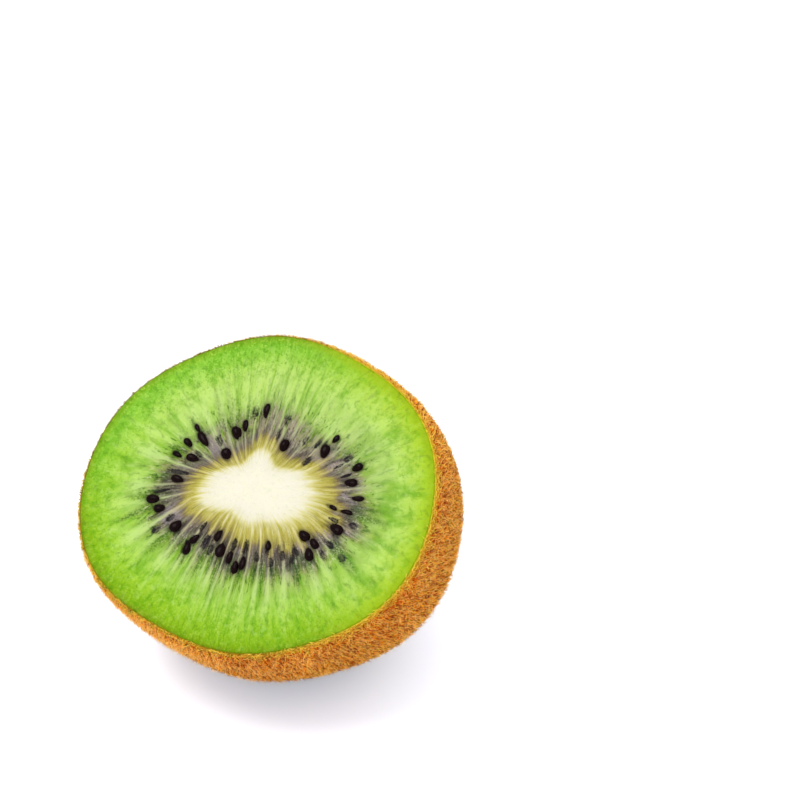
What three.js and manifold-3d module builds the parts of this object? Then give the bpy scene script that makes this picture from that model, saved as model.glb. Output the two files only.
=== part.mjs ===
// Half of a kiwi fruit, cut across and lying back on its skin with the cut face forward and up.
// Millimetres, +Z up. The origin is the middle of the small flat spot that the fruit rests on, and
// the cut face looks towards -Y and up. Skin, flesh, core and seeds are one grown-together solid: a
// blunt, slightly uneven dome with a scar at its tip, a cut face with a low core and thin raised
// walls between the seed chambers, and the seeds that stand out of the cut.
//
// Face coordinates: x runs across the cut face, y up its slope, and z straight out of it, with the
// cut at z = 0 and the fruit behind it at negative z. Angles on the face run anticlockwise from +x.

import * as THREE from "three";
import { mergeVertices } from "three/addons/utils/BufferGeometryUtils.js";
import Module from "manifold-3d";

const { acos, asin, atan2, cos, exp, max, PI, sin } = Math;
const { degToRad, smoothstep } = THREE.MathUtils;

// How the cut face is held.
const FACE_SLOPE = 52; // degrees that the face's outward direction points above the horizon
const FACE_MIDDLE = [-0.2, -10, 35.15]; // the face's middle, in the part's own frame

// The cut face's outline: a mean radius and the waves on it, each with its number of crests, its
// height and the angle of a crest in degrees.
const FACE_RADIUS = 24.75;
const OUTLINE_WAVES = [
  { crests: 2, height: 1.5, at: 12 },
  { crests: 3, height: 0.26, at: -34 },
  { crests: 4, height: 0.18, at: 22 },
  { crests: 6, height: 0.22, at: -23 },
];

// The fruit behind the cut: it swells to its widest section, then closes to a blunt tip.
const CUT_TO_WIDEST = 9.6;
const WIDEST_TO_TIP = 29.3;
const SHOULDER_BLUNTNESS = 2.15; // both would be 2 on an ellipse
const TIP_BLUNTNESS = 2.05;
const SKIN_SWELLING = 0.22; // height of the low swellings of the skin

// The scar at the tip: a dimple round a short dried nub.
const DIMPLE = { radius: 5, depth: 1.1 };
const NUB = { radius: 2.4, height: 1.6 };

// The core, in the face's middle.
const CORE_MIDDLE = [-0.2, 0.6];
const CORE_RADIUS = 6.6;
const CORE_WAVES = [
  { crests: 2, height: 1.8, at: 0 },
  { crests: 3, height: 0.5, at: 90 },
  { crests: 4, height: 0.9, at: 0 },
];

// The cut face's relief.
const EDGE_ROUNDING = 0.6; // radius over which the flesh rounds to the skin
const CORE_RISE = 0.3;
const CHAMBERS = 36; // seed chambers round the core
const CHAMBER_DIP = 0.25; // depth of the chambers' floors
const WALL_RISE = 0.22; // height of the walls between the chambers above their floors
const CHAMBER_RING = [0.02, 0.14, 0.32, 0.62]; // shares of the way from core to skin: dips, level, rises

// The seeds that stand out of the cut. Each points its narrow end at the core's middle.
const SEED = { length: 2.25, width: 1.4, thickness: 1.0, taper: 0.35, sunk: 0.15 };
const SMALL_SEED_SCALE = 0.78;
const SEED_SPOTS = [
  [-2.0, 12.1], [-5.5, 7.9], [-5.9, 4.5], [-10.0, 5.9], [-12.1, 5.0], [-10.7, 2.7],
  [2.0, 7.6], [8.0, 8.1], [13.4, 6.8], [13.1, 4.5], [14.9, 2.5],
  [12.9, -2.6], [8.8, -4.5], [10.6, -5.3], [10.2, -7.1], [1.2, -10.4], [-0.2, -12.2],
  [-1.0, -9.6], [-2.6, -9.2], [-3.5, -7.2], [-7.6, -10.2], [-10.0, -7.4],
  [-14.7, -4.1], [-13.1, -5.5], [-12.0, -0.8],
];
const SMALL_SEED_SPOTS = [
  [-4.5, 9.4], [-11.7, 7.3], [-13.4, 2.8], [9.3, 10.3], [13.8, 0.2], [11.3, 0.4],
  [4.0, -6.9], [14.9, -6.2], [15.0, -1.4], [-7.1, -8.3], [-13.0, -8.5],
];

// How finely the surfaces are faceted.
const AROUND = 3 * CHAMBERS; // one edge on each chamber wall and two on its floor
const CORE_RINGS = [0.5, 0.86]; // shares of the core's radius
const FACE_RINGS = [0, 0.08, 0.2, 0.34, 0.48, 0.62, 0.76, 0.9]; // shares of the way from core to skin
const EDGE_RINGS = 3;
const SKIN_RINGS = 17;
const SCAR_RINGS = [6.4, 5, 3.8, 2.9, 2.2, 1.4]; // rough distances from the tip
const SEED_FACETS = [7, 4];

// The skin's turn runs from the cut through 0 at the widest section to a quarter turn at the tip.
const CUT_TURN = asin(-CUT_TO_WIDEST / WIDEST_TO_TIP);
const TIP_TURN = PI / 2;

// A closed outline's radius at an angle.
function waved(radius, waves, angle) {
  const heights = waves.map(({ crests, height, at }) => height * cos(crests * (angle - degToRad(at))));
  return radius + heights.reduce((sum, height) => sum + height);
}

const faceRadius = (angle) => waved(FACE_RADIUS, OUTLINE_WAVES, angle);
const coreRadius = (angle) => waved(CORE_RADIUS, CORE_WAVES, angle);

// The size of the fruit's section at a turn, as a share of the widest.
function sectionSize(turn) {
  if (turn < 0) return cos(turn);
  return (1 - sin(turn) ** SHOULDER_BLUNTNESS) ** (1 / TIP_BLUNTNESS);
}

// How far the scar stands out of the plain dome, at a distance from the fruit's axis.
function scarHeight(distance) {
  const nub = NUB.height * exp(-((distance / NUB.radius) ** 4));
  const dimple = DIMPLE.depth * exp(-((distance / DIMPLE.radius) ** 2));
  return nub - dimple;
}

// A point of the skin.
function skinPoint(angle, turn) {
  const size = sectionSize(turn);
  const swelling = SKIN_SWELLING * sin(3 * angle + 4 * turn) * sin(2 * (turn - CUT_TURN));
  const radius = size * (faceRadius(angle) / sectionSize(CUT_TURN) + swelling);
  const depth = WIDEST_TO_TIP * (sin(turn) - sin(CUT_TURN));
  const edge = EDGE_ROUNDING * (1 - smoothstep(turn, CUT_TURN, CUT_TURN + 0.3));
  return [radius * cos(angle), radius * sin(angle), -depth - edge - scarHeight(radius)];
}

// Height of the face's relief, at a share of the way out from the core's edge to the skin.
// Inside the core the share is negative.
function relief(angle, outward) {
  const [dips, level, rises, ends] = CHAMBER_RING;
  const inCore = 1 - smoothstep(outward, -0.15, 0.1);
  const inRing = smoothstep(outward, dips, level) * (1 - smoothstep(outward, rises, ends));
  const onWall = max(cos(CHAMBERS * angle), 0);
  return CORE_RISE * inCore - inRing * (CHAMBER_DIP - WALL_RISE * onWall);
}

// A point of the core's top, at a share of its radius.
function corePoint(angle, share) {
  const radius = share * coreRadius(angle);
  const [x, y] = CORE_MIDDLE;
  return [x + radius * cos(angle), y + radius * sin(angle), relief(angle, share - 1)];
}

// A point of the cut face, at a share of the way out from the core's edge to the skin.
function facePoint(angle, outward) {
  const [x, y] = corePoint(angle, 1);
  const radius = faceRadius(angle) - EDGE_ROUNDING;
  const across = x + (radius * cos(angle) - x) * outward;
  const upSlope = y + (radius * sin(angle) - y) * outward;
  return [across, upSlope, relief(angle, outward)];
}

// A point of the flesh's rounded edge, from 0 on the face to a quarter turn on the skin.
function edgePoint(angle, quarter) {
  const radius = faceRadius(angle) - EDGE_ROUNDING * (1 - sin(quarter));
  return [radius * cos(angle), radius * sin(angle), -EDGE_ROUNDING * (1 - cos(quarter))];
}

// A closed surface over rings of points, fanned shut at both ends.
function closedSurface(first, rings, last) {
  const points = [first, ...rings.flat(), last];
  const at = (ring, k) => 1 + ring * AROUND + (k % AROUND);
  const faces = [];
  for (let k = 0; k < AROUND; k++) {
    faces.push(0, at(0, k), at(0, k + 1));
    for (let ring = 0; ring + 1 < rings.length; ring++) {
      faces.push(at(ring, k), at(ring + 1, k), at(ring + 1, k + 1));
      faces.push(at(ring, k), at(ring + 1, k + 1), at(ring, k + 1));
    }
    faces.push(at(rings.length - 1, k), points.length - 1, at(rings.length - 1, k + 1));
  }
  const geometry = new THREE.BufferGeometry();
  geometry.setAttribute("position", new THREE.Float32BufferAttribute(points.flat(), 3));
  geometry.setIndex(faces);
  return geometry;
}

// The half without its seeds, ring by ring from the core's middle out and round to the tip.
function fruitGeometry() {
  const ring = (pointAt, place) =>
    Array.from({ length: AROUND }, (_, k) => pointAt((2 * PI * k) / AROUND, place));
  const edgeTurns = Array.from({ length: EDGE_RINGS }, (_, k) => (TIP_TURN * k) / EDGE_RINGS);
  const scarTurns = SCAR_RINGS.map((distance) => acos(distance / FACE_RADIUS));
  const skinStep = (scarTurns[0] - CUT_TURN) / SKIN_RINGS;
  const skinTurns = Array.from({ length: SKIN_RINGS }, (_, k) => CUT_TURN + k * skinStep);
  const rings = [
    ...CORE_RINGS.map((share) => ring(corePoint, share)),
    ...FACE_RINGS.map((outward) => ring(facePoint, outward)),
    ...edgeTurns.map((quarter) => ring(edgePoint, quarter)),
    ...[...skinTurns, ...scarTurns].map((turn) => ring(skinPoint, turn)),
  ];
  return closedSurface(corePoint(0, 0), rings, skinPoint(0, TIP_TURN));
}

// A flattened, egg-shaped seed on the face.
function seedGeometry([x, y], scale) {
  const geometry = new THREE.SphereGeometry(0.5, ...SEED_FACETS).rotateZ(-PI / 2);
  const corners = geometry.getAttribute("position");
  for (let i = 0; i < corners.count; i++) {
    const along = corners.getX(i);
    const narrowing = 1 + SEED.taper * (along - 0.5);
    const across = corners.getY(i) * SEED.width * narrowing;
    const up = corners.getZ(i) * SEED.thickness * narrowing;
    corners.setXYZ(i, along * SEED.length, across, up);
  }
  const outward = atan2(y - CORE_MIDDLE[1], x - CORE_MIDDLE[0]);
  return geometry.scale(scale, scale, scale).rotateZ(outward).translate(x, y, -SEED.sunk);
}

// Turns a shape from face coordinates into the part's own frame.
function placed(geometry) {
  return geometry.rotateX(degToRad(90 - FACE_SLOPE)).translate(...FACE_MIDDLE);
}

const wasm = await Module();
wasm.setup();

// A solid that can be joined and cut, from a closed geometry.
function solidOf(geometry) {
  geometry.deleteAttribute("normal");
  geometry.deleteAttribute("uv");
  const merged = mergeVertices(geometry, 1e-4);
  const vertProperties = merged.getAttribute("position").array;
  const triVerts = new Uint32Array(merged.index.array);
  return new wasm.Manifold(new wasm.Mesh({ numProp: 3, vertProperties, triVerts }));
}

// The geometry of a joined and cut solid.
function geometryOf(solid) {
  const { vertProperties, triVerts } = solid.getMesh();
  const geometry = new THREE.BufferGeometry();
  geometry.setAttribute("position", new THREE.BufferAttribute(vertProperties, 3));
  geometry.setIndex(new THREE.BufferAttribute(triVerts, 1));
  geometry.computeVertexNormals();
  return geometry;
}

// The fruit with its seeds, squashed flat by its own weight where it touches the table.
function kiwiHalfSolid() {
  let half = solidOf(placed(fruitGeometry()));
  for (const spot of SEED_SPOTS) {
    half = half.add(solidOf(placed(seedGeometry(spot, 1))));
  }
  for (const spot of SMALL_SEED_SPOTS) {
    half = half.add(solidOf(placed(seedGeometry(spot, SMALL_SEED_SCALE))));
  }
  const tableSize = 4 * FACE_RADIUS;
  const table = new THREE.BoxGeometry(tableSize, tableSize, tableSize).translate(0, 0, -tableSize / 2);
  return half.subtract(solidOf(table));
}

const flesh = new THREE.MeshStandardMaterial({ color: 0x9ccf3f, roughness: 0.35, metalness: 0 });
const kiwiHalf = new THREE.Mesh(geometryOf(kiwiHalfSolid()), flesh);
kiwiHalf.name = "kiwi_half";

const part = new THREE.Group();
part.add(kiwiHalf);

export default part;
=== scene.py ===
"""The looks of half a kiwi fruit that lies back on its hairy skin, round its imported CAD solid.

The flesh, the thin skin, the seeds, the dried scar at the tip and several kinds of hair are separate
meshes. Shapes are worked out in face coordinates, in millimetres: x runs across the cut face, y up
its slope, and z straight out of it, with the cut at z = 0 and the fruit behind it at negative z.
placed() turns them into the part's own frame, in metres.
"""

import math

import bpy
import numpy as np
from mathutils import Matrix, Vector, noise


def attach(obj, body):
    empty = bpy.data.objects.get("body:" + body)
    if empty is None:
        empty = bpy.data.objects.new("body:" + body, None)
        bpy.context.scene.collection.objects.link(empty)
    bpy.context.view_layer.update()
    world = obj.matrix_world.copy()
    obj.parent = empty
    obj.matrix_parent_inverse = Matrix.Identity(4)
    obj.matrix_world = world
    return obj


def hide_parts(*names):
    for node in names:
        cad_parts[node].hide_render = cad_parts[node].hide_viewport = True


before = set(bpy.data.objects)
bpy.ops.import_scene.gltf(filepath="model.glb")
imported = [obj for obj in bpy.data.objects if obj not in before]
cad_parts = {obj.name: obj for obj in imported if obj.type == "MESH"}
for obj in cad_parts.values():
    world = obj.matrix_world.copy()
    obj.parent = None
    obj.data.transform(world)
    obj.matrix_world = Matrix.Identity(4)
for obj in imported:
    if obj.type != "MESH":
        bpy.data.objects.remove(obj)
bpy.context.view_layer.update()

MM = 0.001
FULL_TURN = 2 * math.pi
MAP_RADIUS = 0.47  # of a flat layout's disk, in a square 1 wide

# The fruit's form, as in the CAD source.
FACE_SLOPE = 52  # degrees that the face's outward direction points above the horizon
FACE_MIDDLE = (-0.2, -10, 35.15)
FACE_RADIUS = 24.75
OUTLINE_WAVES = ((2, 1.5, 12), (3, 0.26, -34), (4, 0.18, 22), (6, 0.22, -23))  # crests, height, degrees
CUT_TO_WIDEST = 9.6
WIDEST_TO_TIP = 29.3
SHOULDER_BLUNTNESS = 2.15
TIP_BLUNTNESS = 2.05
SKIN_SWELLING = 0.22
DIMPLE_RADIUS, DIMPLE_DEPTH = 5, 1.1
NUB_RADIUS, NUB_HEIGHT = 2.4, 1.6
CORE_MIDDLE = (-0.2, 0.6)
CORE_RADIUS = 6.9
CORE_WAVES = ((1, 0.95, -41), (2, 1.8, 6), (3, 0.77, -22), (4, 1, 10), (6, 0.26, 29))
CORE_RISE = 0.3
CHAMBERS = 36
CHAMBER_DIP = 0.25
WALL_RISE = 0.22
CHAMBER_RING = (0.02, 0.14, 0.32, 0.62)  # shares of the way from core to skin: dips, level, rises, ends
CUT_TURN = math.asin(-CUT_TO_WIDEST / WIDEST_TO_TIP)
TIP_TURN = math.pi / 2

# The CAD skin is the outside of the fuzz, so the skin itself lies a little inside it.
HAIR_ROOM = 0.72
EDGE_ROOM, EDGE_ROOM_WAVES = 0.08, ((1, 0.3, 150),)
RESTS_BELOW, ROOM_FROM = 0.2, 2.2  # heights between which the skin comes down onto the table
SKIN_THICKNESS = 0.13
FLESH_ROUNDING = 0.26
SKIN_EDGE_DEPTH = 0.12  # how far below the cut the skin's edge stands

# The fibres bend towards the y axis on their way out: how far at most, and the seeds' slant along them.
FIBRE_BEND = 0.27
SEED_SLANT = 0.3

# Seeds that stand out of the cut: place on the face, length, width, and twist off the fibres in degrees.
SEEDS = (
    (-2, 12, 2.2, 0.95, 0), (-4.5, 9.2, 1.8, 0.9, 0), (-5.45, 7.85, 2.1, 1.4, 15),
    (-5.95, 4.4, 2, 1.45, 0), (-10, 5.9, 2.6, 1.1, 0), (-11.4, 7.3, 1.5, 0.8, 0),
    (-12.1, 4.9, 1.6, 1, 0), (-10.7, 2.75, 1.9, 1.1, 15), (-12, -0.7, 1.9, 1.1, -15),
    (-14.7, -4.35, 2, 1.3, -15), (-13.25, -5.45, 1.7, 1.2, -15), (-10.05, -7.4, 2, 1.35, 0),
    (-7.55, -10.2, 1.9, 1.1, 15), (-6.8, -8.6, 1.7, 0.9, -15), (-3.45, -7.35, 1.8, 1.1, 0),
    (-2.5, -9.3, 2.2, 1.3, 0), (-0.95, -10, 1.9, 0.95, 0), (0.2, -11.25, 1.9, 1, 0),
    (1.15, -10.4, 2.1, 0.95, 0), (4.05, -7.05, 1.5, 0.8, 0), (8.8, -4.5, 1.9, 1.5, 15),
    (10.55, -5.25, 1.7, 1.1, 0), (10.25, -6.9, 2, 1.35, -15), (13.1, -2.6, 2.1, 1.35, 0),
    (2.05, 7.6, 1.9, 1.4, 0), (8.1, 8.1, 2.1, 1.3, 30), (13.5, 6.8, 1.7, 1.1, 0),
    (13.15, 4.5, 1.9, 1.1, -15), (14.9, 2.45, 1.8, 0.8, 0), (9.2, 10.15, 1.4, 0.75, 0),
    (11.5, 0.35, 1.7, 0.7, -15), (13.8, 0.15, 1.8, 0.65, 0), (-13.1, 2.8, 1.6, 0.8, 0),
)
# Seeds sunk in the flesh, which show through it as dark patches: place, length, width and strength.
SUNK_SEEDS = (
    (-10, 3.6, 1.6, 0.9, 0.75), (-7.6, 6.2, 1.8, 1.1, 0.7), (-11.25, -6.35, 1.6, 1, 0.85),
    (-12.85, -8.5, 1.6, 1.1, 0.9), (-5, -8.6, 2.4, 1.1, 0.98), (-4.05, -9.5, 1.9, 0.7, 0.9),
    (-0.8, -8, 1.9, 0.9, 0.88), (0.95, -8, 2.2, 0.9, 0.93), (2.9, -9, 1.6, 0.9, 0.75),
    (5.1, -9.3, 1.6, 0.9, 0.8), (6.5, -8, 1.6, 0.9, 0.8), (8.2, -7.2, 1.6, 1, 0.92),
    (12.3, -1.35, 1.6, 0.7, 0.94), (12.8, -4.9, 1.7, 0.9, 0.88), (5.9, 6, 1.9, 1, 0.88),
    (4.9, 8.9, 1.7, 0.9, 0.72), (11.8, 7.8, 1.8, 1.2, 0.72), (6.8, 8.8, 1.6, 0.8, 0.72),
    (1.4, 11.3, 2.2, 1.1, 0.7), (0.7, 9, 2, 0.8, 0.7), (-3.6, 11.4, 2.1, 1.2, 0.66),
    (-12, 0.4, 3.4, 0.6, 0.99), (-13.7, -2.9, 2.3, 0.6, 0.99), (-6.1, -6.5, 1.8, 0.6, 0.99),
    (10.7, 6.4, 1.7, 0.4, 0.95), (12.2, 5.3, 1.7, 0.4, 0.95), (15.2, -1.5, 1.4, 0.9, 0.9),
    (15.1, -6.4, 1.5, 1.1, 0.95), (-14, -7.1, 1.4, 0.9, 0.55), (4.2, -7.9, 1.5, 0.7, 0.75),
    (-7.5, -9.3, 1.2, 0.9, 0.8), (12.2, -6.6, 1.7, 1, 0.7), (8.1, -8.3, 1.6, 0.9, 0.7),
)


def smooth(value, low, high):
    share = np.clip((np.asarray(value, float) - low) / (high - low), 0, 1)
    return share * share * (3 - 2 * share)


def band(value, starts, full, fades, ends):
    """1 from one value to another, and 0 before and after it."""
    return smooth(value, starts, full) * (1 - smooth(value, fades, ends))


def waved(radius, waves, angle):
    """A closed outline's radius at an angle."""
    heights = [height * np.cos(crests * (angle - math.radians(at))) for crests, height, at in waves]
    return radius + sum(heights)


def face_radius(angle):
    return waved(FACE_RADIUS, OUTLINE_WAVES, angle)


def edge_room(angle):
    return waved(EDGE_ROOM, EDGE_ROOM_WAVES, angle)


def leaving_angle(angle, outward):
    """The angle at which the fibre that passes a point leaves the core."""
    way = np.clip(outward, 0, 1)
    bend = FIBRE_BEND * way * (2 - way)
    found = angle
    for _ in range(3):
        found = angle - bend * np.sin(2 * found)
    return found


def section_size(turn):
    """The size of the fruit's section at a turn, as a share of the widest."""
    turn = np.asarray(turn, float)
    past = np.clip(np.sin(turn), 0, 1)
    return np.where(turn < 0, np.cos(turn), (1 - past**SHOULDER_BLUNTNESS) ** (1 / TIP_BLUNTNESS))


def scar_height(distance):
    nub = NUB_HEIGHT * np.exp(-((distance / NUB_RADIUS) ** 4))
    return nub - DIMPLE_DEPTH * np.exp(-((distance / DIMPLE_RADIUS) ** 2))


def body_points(angle, turn):
    """Points of the fruit's outside, hairs included, in face coordinates."""
    size = section_size(turn)
    swelling = SKIN_SWELLING * np.sin(3 * angle + 4 * turn) * np.sin(2 * (turn - CUT_TURN))
    radius = size * (face_radius(angle) / section_size(CUT_TURN) + swelling)
    depth = WIDEST_TO_TIP * (np.sin(turn) - math.sin(CUT_TURN))
    edge = SKIN_EDGE_DEPTH * (1 - smooth(turn, CUT_TURN, CUT_TURN + 0.3))
    behind = depth + edge + scar_height(radius)
    return np.stack([radius * np.cos(angle), radius * np.sin(angle), -behind], -1)


def inset(points, distance):
    """Points moved in from the skin, towards the middle of the widest section."""
    middle = np.array([0, 0, -CUT_TO_WIDEST])
    inward = middle - points
    return points + inward * distance / np.linalg.norm(inward, axis=-1, keepdims=True)


def skin_points(angle, turn):
    """Points of the bare skin under the hairs, which comes out to the body's own outside where it rests."""
    body = body_points(angle, turn)
    height = (body @ TO_PART.T)[..., 2] + FACE_MIDDLE[2]
    away = smooth(turn, CUT_TURN, CUT_TURN + 0.35)
    room = edge_room(angle) * (1 - away) + HAIR_ROOM * away
    return inset(body, (room * smooth(height, RESTS_BELOW, ROOM_FROM))[..., None])


def tip_point(depth=0):
    """The point at the tip's middle, at a depth inside the skin."""
    return inset(skin_points(np.zeros(1), np.full(1, TIP_TURN)), depth)[0]


def skin_radius(angle):
    """The skin's radius at the cut."""
    return face_radius(angle) - edge_room(angle)


TO_PART = np.array(Matrix.Rotation(math.radians(90 - FACE_SLOPE), 3, "X"))


def placed(points):
    """Face coordinates in millimetres, turned into the part's frame in metres, none below the table."""
    found = (points @ TO_PART.T + np.array(FACE_MIDDLE)) * MM
    found[:, 2] = np.maximum(found[:, 2], 0)
    return found


def all_round(count):
    """Even angles all round, and the way out at each."""
    angle = np.arange(count) * FULL_TURN / count
    return angle, np.stack([np.cos(angle), np.sin(angle)], 1)


def ring_faces(rings, around, first=0):
    """Quads between rings of points, wound so that they face out where the rings run down the skin."""
    ring, k = np.meshgrid(np.arange(rings - 1), np.arange(around), indexing="ij")
    after = (k + 1) % around
    here, next_ring = ring * around, (ring + 1) * around
    corners = [here + k, next_ring + k, next_ring + after, here + after]
    return np.stack([c.ravel() for c in corners], 1) + first


def closed_surface(first, rings, last):
    """Points and faces of a closed surface over rings of points, fanned shut at both ends."""
    count, around = len(rings), len(rings[0])
    points = np.concatenate([[first], np.concatenate(rings), [last]])
    k = np.arange(around)
    after = (k + 1) % around
    start = 1 + (count - 1) * around
    opening = np.stack([np.zeros_like(k), 1 + k, 1 + after], 1)
    closing = np.stack([start + k, np.full_like(k, len(points) - 1), start + after], 1)
    return points, [opening, ring_faces(count, around, 1), closing]


def joined(surfaces):
    """The points and faces of several closed surfaces as one."""
    firsts = np.cumsum([0, *(len(points) for points, _ in surfaces)])
    faces = [np.concatenate([f[k] + first for (_, f), first in zip(surfaces, firsts)]) for k in range(3)]
    return np.concatenate([points for points, _ in surfaces]), faces


def new_object(name, points, face_sets, material):
    """A smooth-shaded object from points in metres and arrays of faces."""
    mesh = bpy.data.meshes.new(name)
    loops = np.concatenate([faces.ravel() for faces in face_sets])
    sizes = np.concatenate([np.full(len(faces), faces.shape[1]) for faces in face_sets])
    mesh.vertices.add(len(points))
    mesh.vertices.foreach_set("co", np.ascontiguousarray(points, np.float32).ravel())
    mesh.loops.add(len(loops))
    mesh.loops.foreach_set("vertex_index", loops.astype(np.int32))
    mesh.polygons.add(len(sizes))
    mesh.polygons.foreach_set("loop_start", (np.cumsum(sizes) - sizes).astype(np.int32))
    mesh.update(calc_edges=True)
    mesh.shade_smooth()
    mesh.materials.append(material)
    return into_scene(name, mesh)


def into_scene(name, data):
    made = bpy.data.objects.new(name, data)
    bpy.context.scene.collection.objects.link(made)
    return made


def give_values(mesh, name, values):
    """Stores one number or one vector for each vertex, for the material to read."""
    values = np.ascontiguousarray(values, np.float32)
    kind, field = ("FLOAT", "value") if values.ndim == 1 else ("FLOAT_VECTOR", "vector")
    mesh.attributes.new(name, kind, "POINT").data.foreach_set(field, values.ravel())


def give_map(mesh, places):
    """Lays the surface out flat by a place for each vertex, from 0 to 1 each way."""
    corners = np.empty(len(mesh.loops), np.int32)
    mesh.loops.foreach_get("vertex_index", corners)
    layer = mesh.uv_layers.new(name="OFBake")
    layer.uv.foreach_set("vector", np.ascontiguousarray(places[corners], np.float32).ravel())


def round_places(angle, share, hidden):
    """Places on a disk: what shows by its share of the way out, and the hidden rest in a thin ring."""
    reach = MAP_RADIUS * share + (0.5 - MAP_RADIUS) * hidden
    return np.column_stack([0.5 + reach * np.cos(angle), 0.5 + reach * np.sin(angle)])


def add_piece(name, points, faces, material, slot, places=None, **values):
    """Adds a piece that rides on the part.

    The values are numbers or vectors for its points, the places lay its surface out flat, and the slot is
    not used."""
    piece = new_object(name, placed(points), faces, material)
    for value_name, given in values.items():
        give_values(piece.data, value_name, given)
    if places is not None:
        give_map(piece.data, places)
    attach(piece, "root")
    return piece


def noise_at(points, scale, offset=0):
    """Smooth noise from -1 to 1 at each point, with features about 1 / scale across."""
    shift = Vector((offset, 0.7 * offset, -offset))
    return np.array([noise.noise(Vector(p) * scale + shift) for p in points])


# --- Materials ---


def colour(*shade):
    """A colour given as a screen shows it, from 0 to 255, as the shader needs it."""
    parts = [c / 255 for c in shade]
    return (*[c / 12.92 if c <= 0.04045 else ((c + 0.055) / 1.055) ** 2.4 for c in parts], 1)


class Graph:
    """Builds a material's nodes. Each method adds a node and returns its output."""

    def __init__(self, name):
        self.material = bpy.data.materials.new(name)
        self.material.use_nodes = True
        self.tree = self.material.node_tree
        self.shader = self.tree.nodes["Principled BSDF"]

    def node(self, kind, inputs=(), **settings):
        """Adds a node, with a value or a link for some of its input sockets, and returns its outputs."""
        made = self.tree.nodes.new("ShaderNode" + kind)
        for key, value in settings.items():
            setattr(made, key, value)
        for key, value in dict(inputs).items():
            self.feed(made.inputs[key], value)
        return made.outputs

    def feed(self, socket, value):
        if isinstance(value, bpy.types.NodeSocket):
            self.tree.links.new(value, socket)
        else:
            socket.default_value = value

    def set(self, **values):
        """Sets the shader's own sockets, named with underscores for spaces, and returns the material."""
        for key, value in values.items():
            self.feed(self.shader.inputs[key.replace("_", " ")], value)
        return self.material

    def values(self, name, output="Fac"):
        return self.node("Attribute", attribute_name=name)[output]

    def math(self, operation, a, b, clamp=False):
        return self.node("Math", {0: a, 1: b}, operation=operation, use_clamp=clamp)[0]

    def both(self, first, *others):
        """The product of two or more shares."""
        for other in others:
            first = self.math("MULTIPLY", first, other)
        return first

    def plus(self, first, *others):
        for other in others:
            first = self.math("ADD", first, other)
        return first

    def fit(self, value, low, high, to_low=0, to_high=1):
        """Turns low to high into to_low to to_high, smoothly, and goes no further."""
        given = {0: value, 1: low, 2: high, 3: to_low, 4: to_high}
        return self.node("MapRange", given, interpolation_type="SMOOTHSTEP")[0]

    def mix(self, share, a, b):
        return self.node("Mix", {0: share, 6: a, 7: b}, data_type="RGBA")[2]

    def ramp(self, value, stops):
        made = self.tree.nodes.new("ShaderNodeValToRGB")
        elements = made.color_ramp.elements
        elements.remove(elements[1])
        elements[0].position, elements[0].color = stops[0]
        for position, shade in stops[1:]:
            elements.new(position).color = shade
        self.feed(made.inputs[0], value)
        return made.outputs[0]

    def noise(self, vector, scale, detail=3, roughness=0.6, distortion=0):
        shape = {"Detail": detail, "Roughness": roughness, "Distortion": distortion}
        return self.node("TexNoise", {"Vector": vector, "Scale": scale, **shape})[0]

    def parts(self, vector):
        return self.node("SeparateXYZ", {0: vector})

    def vector(self, x, y, z):
        return self.node("CombineXYZ", {0: x, 1: y, 2: z})[0]

    def bump(self, height, distance, strength):
        return self.node("Bump", {"Height": height, "Distance": distance, "Strength": strength})[0]


# Colours of the flesh on the way from the core to the skin: in the chambers, and on the pale fibres
# between them. The place is a share of the way, negative inside the core. They are as they look
# beside white paper in the studio, and FLESH_TONE turns them into what the flesh itself reflects.
FLESH_TONE = 0.523
FLESH_FROM = -0.4
FLESH_SPAN = 1 - FLESH_FROM
CHAMBER_COLOURS = (
    (-0.34, 247, 243, 219), (-0.2, 242, 237, 200), (-0.1, 226, 218, 142), (-0.01, 196, 187, 82),
    (0.07, 177, 166, 72), (0.12, 145, 129, 70), (0.17, 110, 97, 86), (0.26, 106, 97, 92),
    (0.32, 124, 118, 93), (0.38, 145, 152, 82), (0.44, 139, 175, 62), (0.52, 142, 186, 54),
    (0.6, 150, 200, 56), (0.7, 155, 207, 56), (0.79, 152, 204, 40), (0.87, 147, 197, 24),
    (0.93, 138, 188, 8), (0.98, 131, 175, 0), (1, 122, 155, 0),
)
FIBRE_COLOURS = (
    (-0.34, 248, 245, 222), (-0.15, 248, 243, 210), (-0.04, 240, 232, 178), (0.05, 224, 213, 124),
    (0.13, 203, 190, 124), (0.22, 196, 187, 152), (0.31, 192, 205, 148), (0.42, 190, 216, 128),
    (0.54, 192, 226, 126), (0.66, 190, 228, 110), (0.78, 182, 224, 82), (0.88, 170, 214, 52),
    (0.95, 156, 200, 20), (1, 140, 172, 0),
)
SEED_SHADOW = (20, 12, 10)
SUNK_SEED = (30, 26, 28)
OLIVE_GAP = (118, 106, 26)
CHAMBER_DARK = (58, 47, 48)
CHAMBER_PALE = (156, 142, 150)
TAIL_GREEN = (50, 90, 14)
DEEP_GREEN = (96, 168, 0)
PALE_GREEN = (200, 236, 120)
SUNNY_GREEN = (178, 215, 38)
SUNNY_EDGE = (158, 190, 0)
LIT_GREEN = (220, 242, 150)
CHAMBER_TOP = (180, 166, 132)
DIM_GREEN = (128, 164, 66)
SHADY_GREEN = (128, 206, 58)
VEIN_DARK = (92, 160, 0)
VEIN_PALE = (196, 234, 86)
DARK_GRAIN_INSIDE = (30, 18, 20)
DARK_GRAIN_OUTSIDE = (40, 92, 0)
PALE_GRAIN_AND_GLINT_INSIDE = (232, 222, 200)
PALE_GRAIN_AND_GLINT_OUTSIDE = (206, 236, 84)


def flesh_colour(shade):
    return (*[FLESH_TONE * c for c in colour(*shade)[:3]], 1)


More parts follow.
